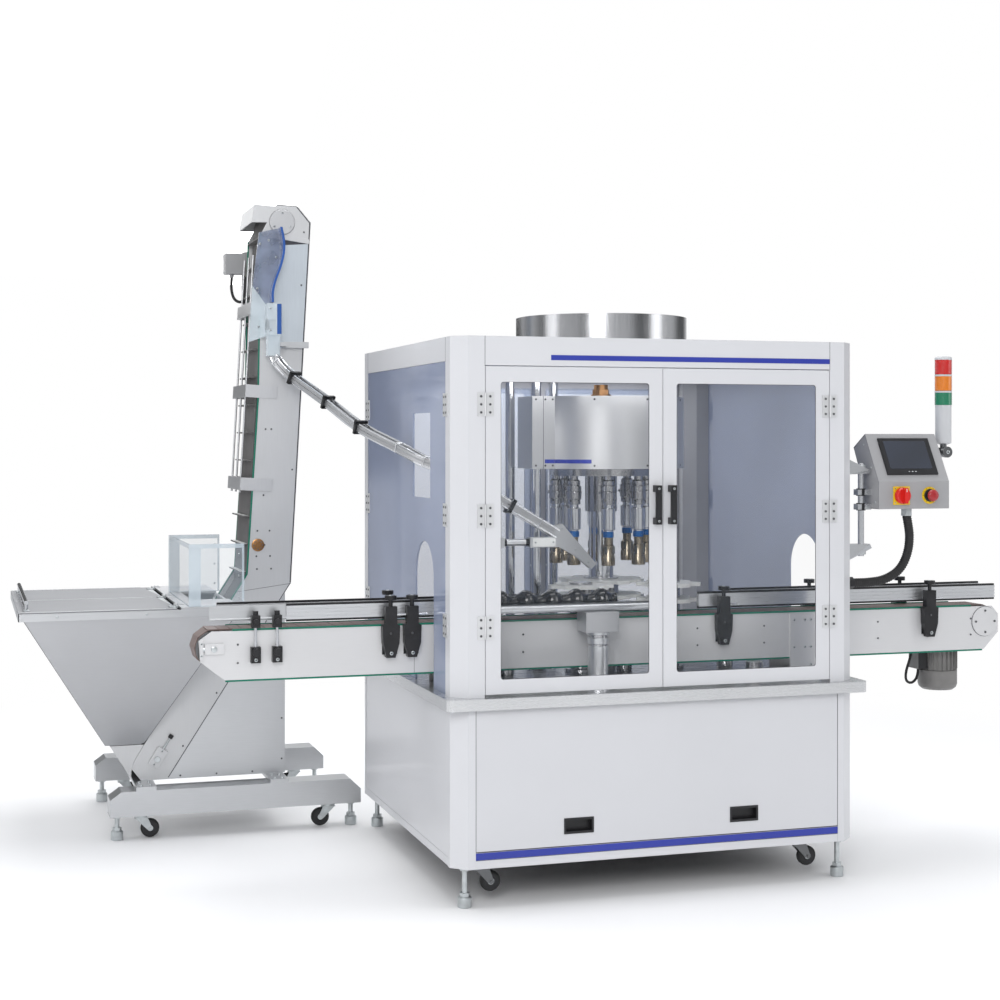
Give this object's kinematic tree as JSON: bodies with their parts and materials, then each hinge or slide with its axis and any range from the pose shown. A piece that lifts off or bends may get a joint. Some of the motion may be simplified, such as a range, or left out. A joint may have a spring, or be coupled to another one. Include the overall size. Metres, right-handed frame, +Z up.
{
  "type": "capping machine",
  "caption": "Enclosed rotary capping machine on a cabinet, with slat conveyor, star wheels, capping turret, inclined cap elevator with hopper, and control box.",
  "frame": {"origin": "centre of the bounding box's base, on the floor", "axes": "+X along the conveyor towards its motor, -Y towards the operator at the front doors, +Z up"},
  "size_m": [3.5278, 2.165, 2.446],
  "materials": {
    "white_paint": "satin powder coat",
    "zinc_steel": "bright zinc",
    "stainless": "brushed",
    "polished_steel": "polished",
    "tinted_acrylic": "clear tinted sheet",
    "clear_acrylic": "clear sheet",
    "belt_plastic": "moulded slats",
    "belt_rubber": "belt",
    "motor_grey": "semi-gloss",
    "rail_aluminium": "extruded",
    "black_plastic": "moulded",
    "black_rubber": "matte",
    "box_grey": "powder coat",
    "white_plastic": "machined",
    "red_plastic": "moulded",
    "tower_plastic": "moulded lenses"
  },
  "bodies": {
    "machine": {"base_frame": "white_paint", "levelling_feet": "zinc_steel", "worktop": "stainless", "guard_frame": "white_paint", "roof_drum": "stainless", "side_windows": "tinted_acrylic", "table_fittings": "polished_steel", "conveyor_frame": "white_paint", "conveyor_belt": "belt_plastic", "conveyor_gearmotor": "motor_grey", "guide_rails": "rail_aluminium", "rail_brackets": "black_plastic", "control_box": "box_grey", "panel_arm": "stainless", "panel_conduit": "black_rubber", "elevator_frame": "white_paint", "elevator_base": "stainless", "hopper": "stainless", "elevator_belt": "belt_rubber", "elevator_motor": "motor_grey", "cap_track": "clear_acrylic", "cap_chute": "polished_steel", "elevator_guides": "stainless", "drive_gearbox": "motor_grey", "caster_forks": "zinc_steel"},
    "front_panel": {"lower_front_panel": "white_paint"},
    "door_fl": {"front_door_left": "white_paint"},
    "door_fr": {"front_door_right": "white_paint"},
    "door_rl": {"rear_door_left": "white_paint"},
    "door_rr": {"rear_door_right": "white_paint"},
    "head_carriage": {"head_housing": "white_paint"},
    "carrier": {"turret_carrier": "stainless"},
    "main_rotor": {"main_star": "stainless"},
    "infeed": {"infeed_star": "white_plastic"},
    "discharge": {"discharge_star": "white_plastic"},
    "feed_screw": {"timing_screw": "black_plastic"},
    "drive_roller": {"conveyor_drive_roller": "zinc_steel"},
    "tail_roller": {"conveyor_tail_roller": "zinc_steel"},
    "head_pulley": {"elevator_drive_pulley": "zinc_steel"},
    "tail_pulley": {"elevator_tail_pulley": "zinc_steel"},
    "isolator": {"isolator_switch": "red_plastic"},
    "estop": {"estop_button": "red_plastic"},
    "lid": {"hopper_lid": "stainless"},
    "tower": {"signal_tower": "tower_plastic"},
    "head_1": {"capping_head_1": "stainless"},
    "head_2": {"capping_head_2": "stainless"},
    "head_3": {"capping_head_3": "stainless"},
    "head_4": {"capping_head_4": "stainless"},
    "head_5": {"capping_head_5": "stainless"},
    "head_6": {"capping_head_6": "stainless"},
    "head_7": {"capping_head_7": "stainless"},
    "head_8": {"capping_head_8": "stainless"},
    "wheel_1": {"caster_wheel_1": "black_rubber"},
    "wheel_2": {"caster_wheel_2": "black_rubber"},
    "wheel_3": {"caster_wheel_3": "black_rubber"},
    "wheel_4": {"caster_wheel_4": "black_rubber"},
    "wheel_5": {"caster_wheel_5": "black_rubber"},
    "wheel_6": {"caster_wheel_6": "black_rubber"},
    "wheel_7": {"caster_wheel_7": "black_rubber"},
    "wheel_8": {"caster_wheel_8": "black_rubber"}
  },
  "joints": [
    {"name": "panel_lift_off", "type": "slide", "parent": "machine", "child": "front_panel", "axis": [0, -1, 0], "range_m": [0, 0.15]},
    {"name": "door_front_left", "type": "hinge", "parent": "machine", "child": "door_fl", "pos_m": [-0.344, -1.0515, 1.225], "axis": [0, 0, -1], "range_deg": [0, 110]},
    {"name": "door_front_right", "type": "hinge", "parent": "machine", "child": "door_fr", "pos_m": [0.898, -1.0515, 1.225], "axis": [0, 0, 1], "range_deg": [0, 110]},
    {"name": "door_rear_left", "type": "hinge", "parent": "machine", "child": "door_rl", "pos_m": [-0.344, 0.2865, 1.225], "axis": [0, 0, 1], "range_deg": [0, 110]},
    {"name": "door_rear_right", "type": "hinge", "parent": "machine", "child": "door_rr", "pos_m": [0.898, 0.2865, 1.225], "axis": [0, 0, -1], "range_deg": [0, 110]},
    {"name": "head_height", "type": "slide", "parent": "machine", "child": "head_carriage", "axis": [0, 0, 1], "range_m": [-0.02, 0.06]},
    {"name": "turret_spin", "type": "hinge", "parent": "machine", "child": "main_rotor", "pos_m": [0.338, -0.3025, 0.9], "axis": [0, 0, 1], "continuous": true},
    {"name": "carrier_spin", "type": "hinge", "parent": "head_carriage", "child": "carrier", "pos_m": [0.338, -0.3025, 1.395], "axis": [0, 0, 1], "continuous": true},
    {"name": "head_spin_1", "type": "hinge", "parent": "carrier", "child": "head_1", "pos_m": [0.30353, -0.46897, 1.3], "axis": [0, 0, 1], "continuous": true},
    {"name": "head_spin_2", "type": "hinge", "parent": "carrier", "child": "head_2", "pos_m": [0.43133, -0.44459, 1.3], "axis": [0, 0, 1], "continuous": true},
    {"name": "head_spin_3", "type": "hinge", "parent": "carrier", "child": "head_3", "pos_m": [0.50447, -0.33697, 1.3], "axis": [0, 0, 1], "continuous": true},
    {"name": "head_spin_4", "type": "hinge", "parent": "carrier", "child": "head_4", "pos_m": [0.48009, -0.20917, 1.3], "axis": [0, 0, 1], "continuous": true},
    {"name": "head_spin_5", "type": "hinge", "parent": "carrier", "child": "head_5", "pos_m": [0.37247, -0.13603, 1.3], "axis": [0, 0, 1], "continuous": true},
    {"name": "head_spin_6", "type": "hinge", "parent": "carrier", "child": "head_6", "pos_m": [0.24467, -0.16041, 1.3], "axis": [0, 0, 1], "continuous": true},
    {"name": "head_spin_7", "type": "hinge", "parent": "carrier", "child": "head_7", "pos_m": [0.17153, -0.26803, 1.3], "axis": [0, 0, 1], "continuous": true},
    {"name": "head_spin_8", "type": "hinge", "parent": "carrier", "child": "head_8", "pos_m": [0.19591, -0.39583, 1.3], "axis": [0, 0, 1], "continuous": true},
    {"name": "infeed_spin", "type": "hinge", "parent": "machine", "child": "infeed", "pos_m": [0.168, -0.5475, 0.9], "axis": [0, 0, 1], "continuous": true},
    {"name": "discharge_spin", "type": "hinge", "parent": "machine", "child": "discharge", "pos_m": [0.508, -0.5475, 0.9], "axis": [0, 0, 1], "continuous": true},
    {"name": "feed_screw_spin", "type": "hinge", "parent": "machine", "child": "feed_screw", "pos_m": [-0.018, -0.7425, 0.96], "axis": [1, 0, 0], "continuous": true},
    {"name": "drive_roller_spin", "type": "hinge", "parent": "machine", "child": "drive_roller", "pos_m": [1.702, -0.6745, 0.838], "axis": [0, 1, 0], "continuous": true},
    {"name": "tail_roller_spin", "type": "hinge", "parent": "machine", "child": "tail_roller", "pos_m": [-1.176, -0.6745, 0.838], "axis": [0, 1, 0], "continuous": true},
    {"name": "head_pulley_spin", "type": "hinge", "parent": "machine", "child": "head_pulley", "pos_m": [-0.75, 0.5325, 2.377], "axis": [0, 1, 0], "continuous": true},
    {"name": "tail_pulley_spin", "type": "hinge", "parent": "machine", "child": "tail_pulley", "pos_m": [-1.238, 0.5325, 0.285], "axis": [0, 1, 0], "continuous": true},
    {"name": "isolator_turn", "type": "hinge", "parent": "machine", "child": "isolator", "pos_m": [1.18, -1.0475, 1.323], "axis": [0, -1, 0], "range_deg": [0, 90]},
    {"name": "estop_push", "type": "slide", "parent": "machine", "child": "estop", "axis": [0, 1, 0], "range_m": [0, 0.005], "stiffness_N_per_m": 1000},
    {"name": "lid_hinge", "type": "hinge", "parent": "machine", "child": "lid", "pos_m": [-1.191, 0.5325, 0.896], "axis": [0, 1, 0], "range_deg": [0, 85]},
    {"name": "tower_fold", "type": "hinge", "parent": "machine", "child": "tower", "pos_m": [1.418, -0.9125, 1.474], "axis": [0, 1, 0], "range_deg": [0, 90]},
    {"name": "wheel_roll_1", "type": "hinge", "parent": "machine", "child": "wheel_1", "pos_m": [-1.272, 0.2975, 0.039], "axis": [0, 1, 0], "continuous": true},
    {"name": "wheel_roll_2", "type": "hinge", "parent": "machine", "child": "wheel_2", "pos_m": [-0.614, 0.2975, 0.039], "axis": [0, 1, 0], "continuous": true},
    {"name": "wheel_roll_3", "type": "hinge", "parent": "machine", "child": "wheel_3", "pos_m": [-1.272, 1.0275, 0.039], "axis": [0, 1, 0], "continuous": true},
    {"name": "wheel_roll_4", "type": "hinge", "parent": "machine", "child": "wheel_4", "pos_m": [-0.614, 1.0275, 0.039], "axis": [0, 1, 0], "continuous": true},
    {"name": "wheel_roll_5", "type": "hinge", "parent": "machine", "child": "wheel_5", "pos_m": [-0.305, -0.9725, 0.074], "axis": [0, 1, 0], "continuous": true},
    {"name": "wheel_roll_6", "type": "hinge", "parent": "machine", "child": "wheel_6", "pos_m": [0.845, -0.9725, 0.074], "axis": [0, 1, 0], "continuous": true},
    {"name": "wheel_roll_7", "type": "hinge", "parent": "machine", "child": "wheel_7", "pos_m": [-0.305, 0.2075, 0.074], "axis": [0, 1, 0], "continuous": true},
    {"name": "wheel_roll_8", "type": "hinge", "parent": "machine", "child": "wheel_8", "pos_m": [0.845, 0.2075, 0.074], "axis": [0, 1, 0], "continuous": true}
  ],
  "couplings": [
    {"joint": "carrier_spin", "follows": "turret_spin", "ratio": 1},
    {"joint": "infeed_spin", "follows": "turret_spin", "ratio": -1.3333},
    {"joint": "discharge_spin", "follows": "turret_spin", "ratio": -1.3333},
    {"joint": "feed_screw_spin", "follows": "turret_spin", "ratio": 8},
    {"joint": "tail_roller_spin", "follows": "drive_roller_spin", "ratio": 1},
    {"joint": "tail_pulley_spin", "follows": "head_pulley_spin", "ratio": 1},
    {"joint": "head_spin_1", "follows": "turret_spin", "ratio": 4},
    {"joint": "head_spin_2", "follows": "turret_spin", "ratio": 4},
    {"joint": "head_spin_3", "follows": "turret_spin", "ratio": 4},
    {"joint": "head_spin_4", "follows": "turret_spin", "ratio": 4},
    {"joint": "head_spin_5", "follows": "turret_spin", "ratio": 4},
    {"joint": "head_spin_6", "follows": "turret_spin", "ratio": 4},
    {"joint": "head_spin_7", "follows": "turret_spin", "ratio": 4},
    {"joint": "head_spin_8", "follows": "turret_spin", "ratio": 4}
  ]
}
